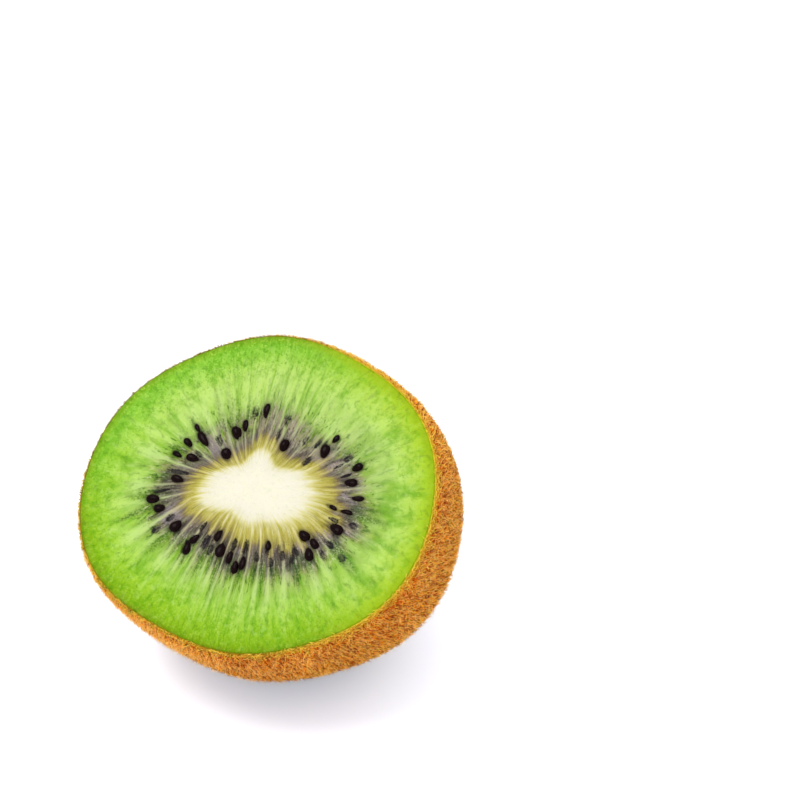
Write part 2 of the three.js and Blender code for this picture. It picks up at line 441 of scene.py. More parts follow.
def flesh_material():
    g = Graph("kiwi_flesh")
    both, plus, fit = g.both, g.plus, g.fit
    face = g.values("face", "Vector")
    outward, distance, walls = map(g.values, ("outward", "distance", "fibre"))
    ray_x, ray_y, _ = g.parts(g.values("ray", "Vector"))
    sunny, shady, upper = g.parts(g.values("sides", "Vector"))

    def rays(fineness, length, wander=0):
        """Noise that runs outward along the fibres, fine across and long outward."""
        vector = g.vector(both(ray_x, fineness), both(ray_y, fineness), both(distance, 1 / length))
        return g.noise(vector, 1, distortion=wander)

    def on_band(starts, full, fades, ends):
        """1 over a band of the way out, and 0 inside and outside it."""
        return both(fit(outward, starts, full), fit(outward, ends, fades))

    def laid_over(shade, *layers):
        """A shade with tints laid over it in turn, each where its share says and at its strength."""
        for share, strength, tint in layers:
            shade = g.mix(both(share, strength), shade, flesh_colour(tint))
        return shade

    def by_place(place, colours):
        return g.ramp(place, [((at - FLESH_FROM) / FLESH_SPAN, flesh_colour(c)) for at, *c in colours])

    patches = rays(14, 2.2, 0.5)
    medium = rays(20, 5, 0.4)
    broad = rays(12, 8, 0.3)
    fine = rays(55, 3)
    hair_fine = rays(130, 2)
    dashes = rays(42, 1.3, 0.3)
    grain = g.noise(face, 3.6, detail=4, roughness=0.65)
    blotches = g.noise(face, 0.5, detail=2, roughness=0.5, distortion=0.4)
    mottle = g.noise(face, 0.95, distortion=0.6)
    veins = g.noise(face, 2.3, distortion=1.2)

    # Pale fibres between the chambers, finer threads among them, and a pale haze round the chambers.
    threads = fit(plus(both(fine, 0.6), both(hair_fine, 0.4)), 0.44, 0.62)
    clouds = plus(both(broad, 0.6), both(blotches, 0.4))
    haze = both(fit(clouds, 0.38, 0.62, 0.06, 0.62), fit(upper, 0, 1, 0.7, 1.6))
    haze = both(haze, on_band(0.34, 0.56, 0.62, 0.98))
    fibre = plus(walls, both(threads, fit(outward, 0.3, 0.52, 0.26, 0.16)))
    fibre = g.math("ADD", fibre, haze, clamp=True)

    # The colours' places wander in and out, and each chamber reaches out a little further or less.
    amount = both(fit(outward, 0, 0.25, 0.18, 0.12), fit(outward, 0.75, 0.95, 1, 0.2))
    wander = both(fit(medium, 0.25, 0.75, -0.5, 0.5), amount)
    place = plus(g.math("SUBTRACT", outward, g.values("reach")), wander)
    place = g.math("DIVIDE", g.math("SUBTRACT", place, FLESH_FROM), FLESH_SPAN)

    gaps = both(fit(medium, 0.5, 0.36), fit(fine, 0.56, 0.42))
    in_chamber = on_band(0.08, 0.18, 0.32, 0.44)
    patchy = plus(patches, g.values("tone"))
    chamber = laid_over(
        by_place(place, CHAMBER_COLOURS),
        (both(gaps, on_band(-0.16, -0.02, 0.1, 0.22)), 0.5, OLIVE_GAP),
        (both(fit(patchy, 0.5, 0.34), in_chamber), 0.8, CHAMBER_DARK),
        (both(fit(patchy, 0.52, 0.66), in_chamber), 0.6, CHAMBER_PALE),
        (both(fit(upper, 0.66, 0.98), fit(patches, 0.42, 0.58), in_chamber), 0.66, CHAMBER_TOP),
    )
    shade = g.mix(fibre, chamber, by_place(place, FIBRE_COLOURS))

    # Dark tails behind the chambers, and the outer flesh's own tints, blots and veins.
    outer = fit(outward, 0.5, 0.74)
    rim = fit(outward, 0.66, 0.9)
    lit_top = both(fit(upper, 0.6, 1), fit(outward, 0.3, 0.46))
    lit_side = both(sunny, fit(outward, 0.6, 0.74))
    lit = both(g.math("MAXIMUM", lit_top, lit_side), fit(outward, 0.96, 0.78))
    streaky = on_band(0.38, 0.52, 0.84, 0.96)
    inner_pale = both(outer, fit(outward, 0.98, 0.75, 0.4))
    veined = both(fit(outward, 0.55, 0.85, 0.25), fit(sunny, 0, 1, 1, 0.4), fit(upper, 0.5, 1, 0.8, 1.25))
    shade = laid_over(
        shade,
        (g.values("tail"), fit(grain, 0.44, 0.58, 1, 0.4), TAIL_GREEN),
        (both(rim, sunny), 0.8, SUNNY_GREEN),
        (lit, 0.22, LIT_GREEN),
        (both(sunny, on_band(0.34, 0.48, 0.6, 0.74)), 0.34, DIM_GREEN),
        (both(rim, shady, fit(outward, 1, 0.93, 0.3)), 0.6, SHADY_GREEN),
        (both(fit(broad, 0.52, 0.66), streaky), 0.3, PALE_GREEN),
        (both(fit(broad, 0.48, 0.34), streaky), 0.44, DEEP_GREEN),
        (both(fit(blotches, 0.47, 0.32), outer), 0.36, DEEP_GREEN),
        (both(fit(mottle, 0.47, 0.34), outer), 0.42, DEEP_GREEN),
        (both(fit(mottle, 0.52, 0.66), inner_pale), 0.36, PALE_GREEN),
        (both(fit(veins, 0.46, 0.34), veined), 0.54, VEIN_DARK),
        (both(fit(veins, 0.54, 0.68), veined), 0.42, VEIN_PALE),
        (both(fit(outward, 0.92, 1), sunny), 0.75, SUNNY_EDGE),
    )

    # The chambers are marked with short dashes between their walls, and the rest only faintly.
    stretched = fit(outward, 0.12, 0.4, 0.45, 0.85)
    marks = plus(both(dashes, stretched), both(grain, g.math("SUBTRACT", 1, stretched)))
    stippled = both(on_band(0.1, 0.2, 0.4, 0.62), fit(walls, 0.1, 0.8, 1, 0.15))
    off_core = fit(outward, -0.1, 0.08)
    # The pale marks are partly the flesh's own grain and partly painted glints.
    for inside, outside, ends, marked, strengths in (
        (DARK_GRAIN_INSIDE, DARK_GRAIN_OUTSIDE, 0.42, (0.47, 0.35), (0.26, 0.8)),
        (PALE_GRAIN_AND_GLINT_INSIDE, PALE_GRAIN_AND_GLINT_OUTSIDE, 0.6, (0.54, 0.66), (0.18, 0.46)),
    ):
        tint = g.mix(fit(outward, 0.3, ends), flesh_colour(inside), flesh_colour(outside))
        share = both(fit(marks, *marked), off_core, fit(stippled, 0, 1, *strengths))
        shade = g.mix(share, shade, tint)
    ragged = plus(g.values("sunk"), fit(veins, 0.3, 0.7, -0.26, 0.26))
    sunk = both(fit(ragged, 0.2, 0.78), fit(g.values("sunk"), 0, 0.45))
    shade = laid_over(
        shade,
        (sunk, fit(marks, 0.44, 0.58, 1, 0.72), SUNK_SEED),
        (g.values("seed_shade"), fit(fine, 0.34, 0.62, 1, 0.78), SEED_SHADOW),
    )

    height = plus(both(threads, 0.26), both(hair_fine, 0.4), both(grain, 0.7))
    height = both(height, fit(outward, -0.7, 0, 0.15))
    return g.set(
        Base_Color=shade,
        Roughness=fit(grain, 0.3, 0.7, 0.24, 0.42),
        IOR=1.38,
        Specular_IOR_Level=0.045,
        Subsurface_Weight=0.18,
        Subsurface_Radius=(0.7, 1, 0.35),
        Subsurface_Scale=0.7 * MM,
        Coat_Weight=0.02,
        Coat_Roughness=0.12,
        Coat_IOR=1.35,
        Normal=g.bump(height, 0.1 * MM, 0.8),
    )


def skin_material():
    g = Graph("kiwi_skin")
    fit = g.fit
    face = g.values("face", "Vector")
    from_edge = g.values("from_edge")
    patches = g.noise(face, 0.16, roughness=0.5)
    spots = g.noise(face, 1.3, detail=4, roughness=0.65)
    grain = g.noise(face, 5)
    sunny = g.both(g.values("sunny"), fit(spots, 0.35, 0.6, 0.6))
    edge = g.mix(sunny, colour(120, 108, 14), colour(190, 178, 40))
    shade = g.mix(fit(patches, 0.35, 0.65), colour(150, 58, 2), colour(172, 78, 8))
    # It is paler towards the cut, partly its own colour and partly painted light.
    # Its cut edge is olive, or yellow on the fruit's right side.
    for share, tint in (
        (fit(spots, 0.56, 0.42, 0, 0.75), colour(80, 18, 0)),
        (fit(grain, 0.5, 0.68, 0, 0.55), colour(216, 128, 38)),
        (fit(from_edge, 1.6, 0.6, 0, 0.6), colour(186, 146, 34)),
        (fit(from_edge, 0.3, 0.05, 0, 0.9), edge),
        (g.values("bare_rim"), colour(98, 100, 20)),
        (g.values("scar"), colour(64, 36, 20)),
    ):
        shade = g.mix(share, shade, tint)
    return g.set(
        Base_Color=shade,
        Roughness=fit(spots, 0.35, 0.65, 0.62, 0.82),
        IOR=1.4,
        Specular_IOR_Level=0.03,
        Normal=g.bump(g.plus(g.both(spots, 0.8), g.both(grain, 0.5)), 0.18 * MM, 0.9),
    )


def seed_material():
    g = Graph("kiwi_seed")
    face = g.values("face", "Vector")
    pits = g.noise(face, 6, roughness=0.5)
    shade = g.mix(g.fit(pits, 0.35, 0.7), colour(2, 0, 0), colour(22, 5, 6))
    return g.set(
        Base_Color=shade,
        Roughness=g.fit(pits, 0.3, 0.7, 0.16, 0.3),
        IOR=1.45,
        Specular_IOR_Level=0.035,
        Coat_Weight=0.016,
        Coat_Roughness=0.08,
        Normal=g.bump(pits, 0.03 * MM, 0.7),
    )


def hair_material(name, root, tip):
    """Hair that lightens from root to tip: brown to pale for tints up to 1, then straw, then olive."""
    g = Graph(name)
    tint = g.values("tint")
    shade = g.mix(g.fit(g.values("along"), 0, 0.8), colour(*root), colour(*tip))
    for span, laid in (
        ((0.6, 1, 0, 0.75), colour(252, 200, 106)),
        ((0.36, 0.1, 0, 0.92), colour(116, 26, 0)),
        ((1.02, 1.08, 0, 0.85), colour(226, 196, 66)),
        ((1.17, 1.22), colour(112, 108, 26)),
    ):
        shade = g.mix(g.fit(tint, *span), shade, laid)
    return g.set(Base_Color=shade, Roughness=g.fit(tint, 0, 1, 0.5, 0.65), IOR=1.5, Specular_IOR_Level=0.01)


def scar_material():
    g = Graph("dried_scar")
    face = g.values("face", "Vector")
    grain = g.noise(face, 3, detail=4, roughness=0.65)
    shade = g.mix(g.fit(grain, 0.35, 0.65), colour(58, 34, 20), colour(128, 84, 48))
    roughness = g.fit(grain, 0.3, 0.7, 0.7, 0.9)
    return g.set(Base_Color=shade, Roughness=roughness, Normal=g.bump(grain, 0.1 * MM, 0.9))


# --- Flesh ---

FACE_AROUND = 720
CORE_RINGS = 20
FIBROUS_RINGS, OUTER_RINGS, FIBROUS_TO = 82, 18, 0.7
EDGE_RINGS = 7
THREADS, PALE_STREAKS, LOOSE_TAILS = 70, 30, 30
BACK_RINGS = 10
BACK_ROOM = 1.2  # how much deeper under the skin the hidden back of the flesh lies
FLESH_IN_SKIN = 0.75 * SKIN_THICKNESS
FACE_REACH = 27  # further out than the face's edge anywhere


def warped(angle):
    """The angle round the core with the chambers' uneven widths taken out."""
    wide = 0.05 * np.sin(3 * angle + 0.7)
    return angle + wide + 0.035 * np.sin(7 * angle + 2.1) + 0.02 * np.sin(13 * angle)


def wall_share(angle):
    """1 on the middle of a wall between two chambers, 0 on a chamber's floor."""
    return np.maximum(np.cos(CHAMBERS * warped(angle)), 0) ** 1.5


def by_chamber(angle, values):
    """A value for each chamber, which turns into the next one's at the wall between them."""
    place = CHAMBERS * warped(angle) / FULL_TURN - 0.5
    chamber = np.floor(place).astype(int)
    share = smooth(place - chamber, 0.35, 0.65)
    return values[chamber % CHAMBERS] * (1 - share) + values[(chamber + 1) % CHAMBERS] * share


def relief(angle, outward):
    """Height of the face's relief at a share of the way out from the core's edge to the skin."""
    angle = leaving_angle(angle, outward)
    in_core = 1 - smooth(outward, -0.15, 0.1)
    in_ring = band(outward, *CHAMBER_RING)
    return CORE_RISE * in_core - in_ring * (CHAMBER_DIP - WALL_RISE * wall_share(angle))


def seed_turn(x, y, twist=0):
    """The direction in which a seed's blunt end points: outward along the fibres, but for its twist."""
    angle = math.atan2(y - CORE_MIDDLE[1], x - CORE_MIDDLE[0])
    return angle + SEED_SLANT * math.sin(2 * angle) + math.radians(twist)


def shaded(points, seeds, strength, soft_from, soft_to):
    """How strongly seeds darken each point, full up to one share of their size and none past another."""
    light = np.ones(len(points))
    for x, y, length, width, turn, share in seeds:
        dx = points[:, 0] - x
        dy = points[:, 1] - y
        along = (dx * math.cos(turn) + dy * math.sin(turn)) / (0.5 * length)
        half_width = 0.5 * width * (1 + 0.16 * np.clip(along, -1, 1))
        across = (dy * math.cos(turn) - dx * math.sin(turn)) / half_width
        light *= 1 - strength * share * (1 - smooth(np.hypot(along, across), soft_from, soft_to))
    return 1 - light


def streaks(angle, outward, distance, lines):
    """How strongly thin lines that run outward cover each point.

    Each line has an angle, drift, start and end as shares of the way out, half widths in the chambers
    and at its end, and strength."""
    bare = np.ones(len(angle))
    for at, drift, start, end, width, end_width, strength in lines:
        off = (angle - at - drift * (outward - 0.2) + math.pi) % FULL_TURN - math.pi
        wide = width + (end_width - width) * smooth(outward, 0.28, end)
        close = np.exp(-((off * distance / wide) ** 2))
        bare *= 1 - strength * close * band(outward, start - 0.06, start + 0.04, end - 0.18, end)
    return 1 - bare


def wall_angles(first):
    """The angles at which the walls leave the core, or with first 0.5 the chambers' middles."""
    turns = np.linspace(0, FULL_TURN, 7201)
    return np.interp((np.arange(CHAMBERS) + first) * FULL_TURN / CHAMBERS, warped(turns) - warped(0), turns)


def fibre_lines(draw):
    """The chamber walls, which run out into the green flesh, and finer threads between them."""
    lines = []
    for at in wall_angles(0):
        strength = min(draw.uniform(0.5, 0.95) - 0.14 * math.sin(at), 1)
        drift = draw.normal(0, 0.04)
        start = draw.uniform(-0.06, 0.06)
        end = draw.uniform(0.56, 0.86)
        width = draw.uniform(0.11, 0.21)
        end_width = draw.uniform(0.4, 0.8)
        lines.append((at, drift, start, end, width, end_width, strength))
    for _ in range(THREADS):
        start = draw.uniform(-0.14, 0.16)
        width = draw.uniform(0.06, 0.12)
        at, drift = draw.uniform(0, FULL_TURN), draw.normal(0, 0.08)
        end = start + draw.uniform(0.15, 0.4)
        lines.append((at, drift, start, end, width, 1.5 * width, draw.uniform(0.15, 0.5)))
    lines += loose_lines(draw, PALE_STREAKS, (0.2, 0.4), (0.3, 0.44), (0.6, 0.92), 1.6, (0.25, 0.6))
    return lines


def tail_lines(draw):
    """Dark green tails that run out of the chambers."""
    lines = []
    for at in wall_angles(0.5):
        at += draw.normal(0, 0.03)
        drift = draw.normal(0, 0.06)
        start = draw.uniform(0.28, 0.34)
        end = draw.uniform(0.5, 0.82)
        width = draw.uniform(0.6, 0.9)
        lines.append((at, drift, start, end, width, 0.14, draw.uniform(0.6, 1)))
    lines += loose_lines(draw, LOOSE_TAILS, (0.12, 0.3), (0.26, 0.45), (0.5, 0.8), 0.5, (0.2, 0.7))
    return lines


def loose_lines(draw, count, widths, starts, ends, widening, strengths):
    """Lines at any angle, with limits for what each one's numbers may be."""
    lines = []
    for _ in range(count):
        width = draw.uniform(*widths)
        at, drift = draw.uniform(0, FULL_TURN), draw.normal(0, 0.08)
        start, end = draw.uniform(*starts), draw.uniform(*ends)
        lines.append((at, drift, start, end, width, widening * width, draw.uniform(*strengths)))
    return lines


def flesh_surface():
    """Points and faces, and each point's share of the way out, from -1 at the core's middle to 1 at the
    skin, and the angle of its ray."""
    angle, ray = all_round(FACE_AROUND)
    middle = np.array(CORE_MIDDLE)
    core_edge = middle + waved(CORE_RADIUS, CORE_WAVES, angle)[:, None] * ray
    edge_radius = skin_radius(angle) - FLESH_IN_SKIN
    face_edge = (edge_radius - FLESH_ROUNDING)[:, None] * ray
    rings, outwards = [], []

    def add_ring(flat, height, outward):
        rings.append(np.column_stack([flat, np.broadcast_to(height, FACE_AROUND)]))
        outwards.append(np.full(FACE_AROUND, outward))

    for share in np.arange(1, CORE_RINGS) / CORE_RINGS:
        add_ring(middle + (core_edge - middle) * share, relief(angle, share - 1), share - 1)
    fibrous = np.linspace(0, FIBROUS_TO, FIBROUS_RINGS, endpoint=False)
    for outward in [*fibrous, *np.linspace(FIBROUS_TO, 1, OUTER_RINGS, endpoint=False)]:
        add_ring(core_edge + (face_edge - core_edge) * outward, relief(angle, outward), outward)
    for quarter in np.linspace(0, math.pi / 2, EDGE_RINGS):
        radius = edge_radius - FLESH_ROUNDING * (1 - math.sin(quarter))
        add_ring(radius[:, None] * ray, -FLESH_ROUNDING * (1 - math.cos(quarter)), 1)
    for turn in np.linspace(CUT_TURN, TIP_TURN, BACK_RINGS, endpoint=False)[1:]:
        room = FLESH_IN_SKIN + BACK_ROOM * float(smooth(turn, CUT_TURN, CUT_TURN + 0.3))
        ring = inset(skin_points(angle, np.full(FACE_AROUND, turn)), room)
        add_ring(ring[:, :2], ring[:, 2], 1)
    first = np.array([*CORE_MIDDLE, CORE_RISE])
    points, faces = closed_surface(first, rings, tip_point(BACK_ROOM))
    outward = np.concatenate([[-1], np.concatenate(outwards), [1]])

    on_face = 1 + FACE_AROUND * (CORE_RINGS - 1 + FIBROUS_RINGS + OUTER_RINGS)
    fibres = noise_at(points[:on_face], 1.4, 3) * 0.05 + noise_at(points[:on_face], 4, 9) * 0.018
    points[:on_face, 2] += fibres * smooth(1 - outward[:on_face], 0, 0.05)
    return points, faces, outward, np.concatenate([[0], np.tile(angle, len(rings)), [0]])


def chamber_reach(angle, leaving, outward, by_one):
    """How much further out the chambers' colours reach at each point, as a share of the way."""
    # The chambers reach out further below the core than above it, and least at its upper left.
    reach = by_one + 0.025 * np.cos(angle)
    reach -= 0.035 * np.sin(angle) + 0.035 * np.abs(np.sin(angle))
    reach -= 0.05 * np.clip(np.cos(angle - 2.1), 0, 1) ** 2
    # Their outer ends are round: they reach less far beside the walls.
    reach -= 0.08 * (0.5 + 0.5 * np.cos(CHAMBERS * warped(leaving))) ** 2 - 0.03
    reach *= band(outward, 0.05, 0.2, 0.5, 0.7)
    # They start nearer the core at its upper left than at its lower right.
    return reach - (0.01 + 0.045 * np.cos(angle - 2.36)) * band(outward, -0.12, 0, 0.12, 0.3)


def make_flesh():
    points, faces, outward, angle = flesh_surface()
    x, y, z = points.T
    leaving = leaving_angle(angle, outward)
    distance = np.hypot(x - CORE_MIDDLE[0], y - CORE_MIDDLE[1])
    draw = np.random.default_rng(3)
    fibre = streaks(leaving, outward, distance, fibre_lines(draw))
    tail = streaks(leaving, outward, distance, tail_lines(draw))
    by_one = by_chamber(leaving, draw.uniform(-0.06, 0.06, CHAMBERS))
    tone = by_chamber(leaving, draw.uniform(-0.1, 0.1, CHAMBERS))
    sides = [smooth(x + 0.35 * y, 5, 20), smooth(0.8 * y - 0.6 * x, 4, 20), smooth(y, -12, 14)]
    standing = [(*seed[:4], seed_turn(seed[0], seed[1], seed[4]), 1) for seed in SEEDS]
    sunk = [(*seed[:4], seed_turn(seed[0], seed[1]), seed[4]) for seed in SUNK_SEEDS]
    near = shaded(points, standing, 0.75, 0.85, 1.4)
    round_about = shaded(points, standing, 0.22, 1, 2)
    on_face = outward < 1
    out_share = np.where(on_face, np.hypot(x, y) / FACE_REACH, 1)
    behind = np.where(on_face, 0, np.clip(-z / (CUT_TO_WIDEST + WIDEST_TO_TIP), 0, 1))
    piece = add_piece(
        "kiwi_flesh",
        points,
        faces,
        flesh_material(),
        "flesh",
        round_places(np.arctan2(y, x), out_share, behind),
        face=points,
        outward=outward,
        distance=distance,
        ray=np.column_stack([np.cos(leaving), np.sin(leaving), 0 * leaving]),
        fibre=fibre,
        tail=tail * (0.72 + 0.25 * np.abs(np.cos(angle)) - 0.14 * np.sin(angle)),
        sides=np.column_stack(sides),
        reach=chamber_reach(angle, leaving, outward, by_one),
        tone=tone + 0.045 * np.sin(angle),
        seed_shade=1 - (1 - near) * (1 - round_about),
        sunk=shaded(points, sunk, 1, 0.5, 1.55),
    )
    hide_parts("kiwi_half")


# --- Skin ---

SKIN_AROUND = 360
SKIN_RINGS = 112
INNER_RINGS = 12
TIP_THICKENING = 1
SCAR_RADIUS = 2.6
# The rings of the skin's cut edge: how far in, as a share of its thickness, and how far below the top.
SKIN_RIM = ((1, 0.06), (0.62, 0), (0.28, 0), (0.06, 0.06))


def skin_bumps(points):
    return 0.06 * noise_at(points, 0.8, 5) + 0.035 * noise_at(points, 2.2, 1)


def make_skin():
    """A thin closed shell from its edge at the cut to the scar."""
    around, ray = all_round(SKIN_AROUND)
    radius = skin_radius(around)
    ragged = noise_at(np.column_stack([ray * 30, np.zeros(SKIN_AROUND)]), 1, 2) * 0.06
    turns = np.linspace(CUT_TURN, TIP_TURN, SKIN_RINGS, endpoint=False)
    inner_turns = np.linspace(TIP_TURN, CUT_TURN, INNER_RINGS + 1)[1:]
    full = np.ones(SKIN_AROUND)
    thickness = SKIN_THICKNESS + TIP_THICKENING * smooth(inner_turns, 0.4, 1.1)
    inner = [inset(skin_points(around, turn * full), thick) for turn, thick in zip(inner_turns, thickness)]
    rim = []
    for inward, below in SKIN_RIM:
        flat = (radius - inward * SKIN_THICKNESS)[:, None] * ray
        rim.append(np.column_stack([flat, ragged - SKIN_EDGE_DEPTH - below]))
    outer = [skin_points(around, turn * full) for turn in turns]
    points, faces = closed_surface(tip_point(thickness[0]), inner + rim + outer, tip_point())
    outer_from = 1 + SKIN_AROUND * (len(inner) + len(rim))
    out = points[outer_from:] - np.array([0, 0, -CUT_TO_WIDEST])
    out /= np.linalg.norm(out, axis=1, keepdims=True)
    points[outer_from:] += out * skin_bumps(points[outer_from:])[:, None]

    from_tip = np.hypot(points[:, 0], points[:, 1])
    angle = np.arctan2(points[:, 1], points[:, 0])
    ring_turns = np.repeat([*inner_turns, *[CUT_TURN] * len(rim), *turns], SKIN_AROUND)
    point_turns = np.concatenate([[TIP_TURN], ring_turns, [TIP_TURN]])
    at_scar = points[:, 2] < -CUT_TO_WIDEST - 15
    # The outer skin fills the flat layout as seen from the tip, and the inner side is the thin ring.
    index = np.arange(len(points))
    share = 1 - np.clip((index - outer_from) / (len(points) - 1 - outer_from), 0, 1)
    inside = np.clip((outer_from - index) / outer_from, 0, 1)
    add_piece(
        "kiwi_skin",
        points,
        faces,
        skin_material(),
        "skin",
        round_places(angle, share, inside),
        face=points,
        from_edge=-points[:, 2] - SKIN_EDGE_DEPTH,
        scar=0.8 * np.where(at_scar, np.exp(-((from_tip / SCAR_RADIUS) ** 2)), 0),
        sunny=sunny_side(points),
        bare_rim=bare_rim(angle, point_turns),
    )


# --- Seeds ---

SEED_AROUND, SEED_STEPS = 18, 14
SEED_FLATNESS = 0.72  # thickness for its width


def make_seeds():
    """Egg-shaped seeds, narrow at the core's side, each lying half in the flesh."""
    steps = np.linspace(0, math.pi, SEED_STEPS + 1)[1:-1]
    around, _ = all_round(SEED_AROUND)
    surfaces = []
    for index, (x, y, length, width, twist) in enumerate(SEEDS):
        bend = 0.06 * math.sin(5.3 * index)
        uneven = 1 + 0.07 * np.sin(2 * around + 3.1 * index) + 0.05 * np.sin(3 * around + 1.7 * index)
        rings = []
        for step in steps:
            along = -math.cos(step)
            size = 0.5 * width * math.sin(step) ** 0.92 * (1 + 0.2 * along)
            sideways = (size * np.cos(around) + bend * (1 - along**2)) * uneven
            upward = SEED_FLATNESS * size * np.sin(around) * uneven
            rings.append(np.column_stack([np.full(SEED_AROUND, 0.5 * length * along), sideways, upward]))
        points, faces = closed_surface([-0.5 * length, 0, 0], rings, [0.5 * length, 0, 0])
        tilt = math.radians(7) * math.sin(7.9 * index)
        spin = np.array(Matrix.Rotation(seed_turn(x, y, twist), 3, "Z") @ Matrix.Rotation(tilt, 3, "Y"))
        height = float(relief(math.atan2(y - CORE_MIDDLE[1], x - CORE_MIDDLE[0]), 0.28)) + 0.02
        surfaces.append((points @ spin.T + np.array([x, y, height]), [f[:, ::-1] for f in faces]))
    points, faces = joined(surfaces)
    add_piece("kiwi_seeds", points, faces, seed_material(), "seed", face=points)


# --- Hairs ---

# Kinds of hair: name, how many, length from and to, thickness, how steeply they stand, how far they may
# stand out of the skin, whether they bend, colours of root and tip, and the seed of their random draw.
HAIR_KINDS = (
    ("hair_short_brown", 45000, 0.45, 0.85, 0.092, 0.7, 0.46, False, (206, 70, 0), (240, 114, 4), 12),
    ("hair_short_golden", 45000, 0.5, 0.95, 0.088, 0.7, 0.52, False, (248, 120, 2), (255, 164, 24), 11),
    ("hair_long_golden", 17000, 0.9, 1.5, 0.104, 0.6, 0.8, True, (248, 122, 4), (255, 178, 42), 13),
    ("hair_long_pale", 12500, 0.8, 1.5, 0.108, 0.55, 0.8, True, (248, 146, 24), (255, 204, 106), 14),
    ("hair_fine", 11000, 1, 1.9, 0.055, 0.95, 1.15, False, (216, 142, 56), (246, 200, 124), 15),
    ("hair_rim", 5200, 0.7, 1.3, 0.045, 1.05, 1, False, (122, 118, 20), (206, 206, 92), 16),
)
FRINGE = "hair_rim"  # the hairs that grow only on the bare upper rim
HAIR_SIDES = 3
ROOT_DEPTH, LEAST_PROUD, LEAST_HEIGHT = 0.06, 0.05, 0.03
UPPER_EDGE = math.radians(140)
RIM_WIDTH = 0.07  # how far from the cut the hairs of the fringe grow, as a turn
BARE_TIP = 0.02  # how near the tip no hair grows, as a turn
STRAW_TINT, OLIVE_TINT = 1.12, 1.27


def normalised(vectors):
    return vectors / np.linalg.norm(vectors, axis=1, keepdims=True)


def skin_frames(draw, count, last_turn):
    """Random places spread evenly from the cut to a turn: points, outward and tipward ways, angles and
    turns."""
    found = [[], []]
    widest = FACE_RADIUS / float(section_size(CUT_TURN))
    while sum(map(len, found[0])) < count:
        angle = draw.uniform(0, FULL_TURN, 2 * count)
        turn = draw.uniform(CUT_TURN, last_turn, 2 * count)
        slope = np.hypot(WIDEST_TO_TIP * np.cos(turn), widest * np.sin(turn))
        spread = section_size(turn) * slope / (1.1 * WIDEST_TO_TIP)
        kept = draw.uniform(0, 1, 2 * count) < spread
        found[0].append(angle[kept])
        found[1].append(turn[kept])
    angle, turn = (np.concatenate(part)[:count] for part in found)
    step = 1e-3
    here = skin_points(angle, turn)
    round_way = skin_points(angle + step, turn) - here
    tip_way = skin_points(angle, turn + step) - here
    return here, normalised(np.cross(tip_way, round_way)), normalised(tip_way), angle, turn


def sunny_side(points):
    """How far each point is on the fruit's right side, where the hairs are paler as painted light."""
    return smooth(points[:, 0] + 0.35 * points[:, 1], -4, 16)


def bare_rim(angle, turn):
    """How bare the skin is: round the upper edge the rim has only a few short olive hairs."""
    upper = np.clip(1.6 * np.cos(angle - UPPER_EDGE) - 0.45, 0, 1)
    return upper * (1 - smooth(turn, CUT_TURN + 0.02, CUT_TURN + 0.09))


def hair_tints(draw, here, turn, upper_rim, fringe, seed):
    """Each hair's tint: from 0, brown, to 1, pale, or the tint of straw or of olive."""
    count = len(here)
    # Hairs of one tint stand together in small tufts, less so low down.
    low = 1 - smooth((here @ TO_PART.T)[:, 2] + FACE_MIDDLE[2], 4, 16)
    tint = 0.5 + 1.3 * noise_at(here, 1.7, seed + 20) + draw.normal(0, 0.42, count) * (1 + 0.5 * low)
    # They are paler towards the cut, partly as straw and partly as painted light, and paler at the lower
    # left.
    x, y = here[:, 0], here[:, 1]
    sunny = sunny_side(here)
    near_cut = 1 - smooth(turn, CUT_TURN + 0.01, CUT_TURN + 0.08)
    # Paler towards the lower right is painted light, and darker towards the tip is painted shade.
    tint += 0.14 * smooth(x - y, 0, 30) - 0.16 * smooth(turn, -0.2, 0.15)
    # Darker low down, near the table, is painted shade.
    tint -= 0.26 * low * (1 - 0.6 * smooth(-x, -4, 7))
    tint += 0.45 * smooth(-x, -3, 14) * smooth(-y, -4, 8)
    tint = np.clip(tint, 0, 1)
    # More straw and less olive on the right side is painted light as well.
    straw_share = 0.14 * sunny + near_cut * (0.66 + 0.1 * sunny + 0.3 * smooth(-x, 6, 18))
    straw = (not fringe) & (draw.uniform(0, 1, count) < straw_share)
    tint = np.where(straw, STRAW_TINT, tint)
    olive_share = np.maximum(0.9 * upper_rim, 0.22 * near_cut * (1 - sunny))
    return np.where(draw.uniform(0, 1, count) < olive_share, OLIVE_TINT, tint)


